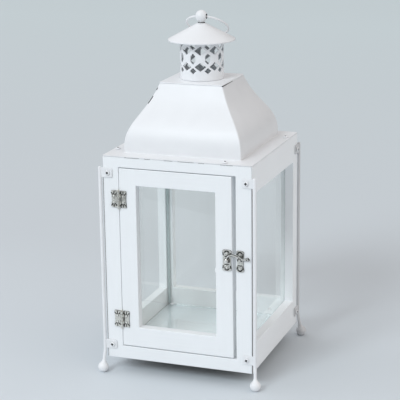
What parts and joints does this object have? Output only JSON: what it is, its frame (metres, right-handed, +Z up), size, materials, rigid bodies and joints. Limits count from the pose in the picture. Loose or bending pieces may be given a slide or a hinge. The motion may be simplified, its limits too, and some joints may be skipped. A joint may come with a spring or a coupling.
{
  "type": "candle lantern",
  "caption": "Square white candle lantern: wooden frames, glass panes, hinged door with hook clasp, corner rods on ball feet, sheet-metal roof with pierced collar, cap, ball finial and ring.",
  "frame": {"origin": "on the ground at the middle of the square plan", "axes": "+X to the right facing the door, +Y to the back, +Z up"},
  "size_m": [0.18, 0.18, 0.3749],
  "materials": {
    "painted_wood": "white satin paint on wood",
    "painted_sheet": "white satin paint on sheet metal",
    "glass": "clear float glass with green edges",
    "hardware": "worn nickel plate"
  },
  "bodies": {
    "lantern": {"back_frame": "painted_wood", "back_pane": "glass", "cap": "painted_sheet", "clasp_catch_nail_bottom": "hardware", "clasp_catch_nail_top": "hardware", "clasp_catch_plate": "hardware", "finial": "painted_sheet", "finial_nut": "hardware", "floor_board": "painted_wood", "floor_glass": "glass", "front_frame": "painted_wood", "front_left_lower_screw": "painted_sheet", "front_left_rod": "painted_sheet", "front_left_upper_screw": "painted_sheet", "front_right_lower_screw": "painted_sheet", "front_right_rod": "painted_sheet", "front_right_upper_screw": "painted_sheet", "left_frame": "painted_wood", "left_pane": "glass", "lower_hinge_frame_leaf": "hardware", "lower_hinge_frame_nail_bottom": "hardware", "lower_hinge_frame_nail_top": "hardware", "lower_hinge_pin": "hardware", "rear_left_lower_screw": "painted_sheet", "rear_left_rod": "painted_sheet", "rear_left_upper_screw": "painted_sheet", "rear_right_lower_screw": "painted_sheet", "rear_right_rod": "painted_sheet", "rear_right_upper_screw": "painted_sheet", "right_frame": "painted_wood", "right_pane": "glass", "roof_back_screw": "painted_sheet", "roof_front_screw": "painted_sheet", "roof_left_screw": "painted_sheet", "roof_right_screw": "painted_sheet", "roof_shell": "painted_sheet", "roof_top_plate": "painted_sheet", "upper_hinge_frame_leaf": "hardware", "upper_hinge_frame_nail_bottom": "hardware", "upper_hinge_frame_nail_top": "hardware", "upper_hinge_pin": "hardware", "vent_collar": "painted_sheet"},
    "door": {"clasp_door_nail_bottom": "hardware", "clasp_door_nail_top": "hardware", "clasp_door_plate": "hardware", "clasp_rivet": "hardware", "door_frame": "painted_wood", "door_pane": "glass", "lower_hinge_door_leaf": "hardware", "lower_hinge_door_nail_bottom": "hardware", "lower_hinge_door_nail_top": "hardware", "upper_hinge_door_leaf": "hardware", "upper_hinge_door_nail_bottom": "hardware", "upper_hinge_door_nail_top": "hardware"},
    "hook": {"clasp_hook": "hardware"},
    "ring": {"carry_ring": "painted_sheet"}
  },
  "joints": [
    {"name": "door_hinge", "type": "hinge", "parent": "lantern", "child": "door", "pos_m": [-0.0628, -0.0817, 0.1251], "axis": [0, 0, -1], "range_deg": [0, 160]},
    {"name": "hook_swing", "type": "hinge", "parent": "door", "child": "hook", "pos_m": [0.0535, -0.0828, 0.1357], "axis": [0, -1, 0], "range_deg": [0, 95]},
    {"name": "ring_swing", "type": "hinge", "parent": "lantern", "child": "ring", "pos_m": [0, 0, 0.36866], "axis": [1, 0, 0], "range_deg": [0, 246]}
  ]
}
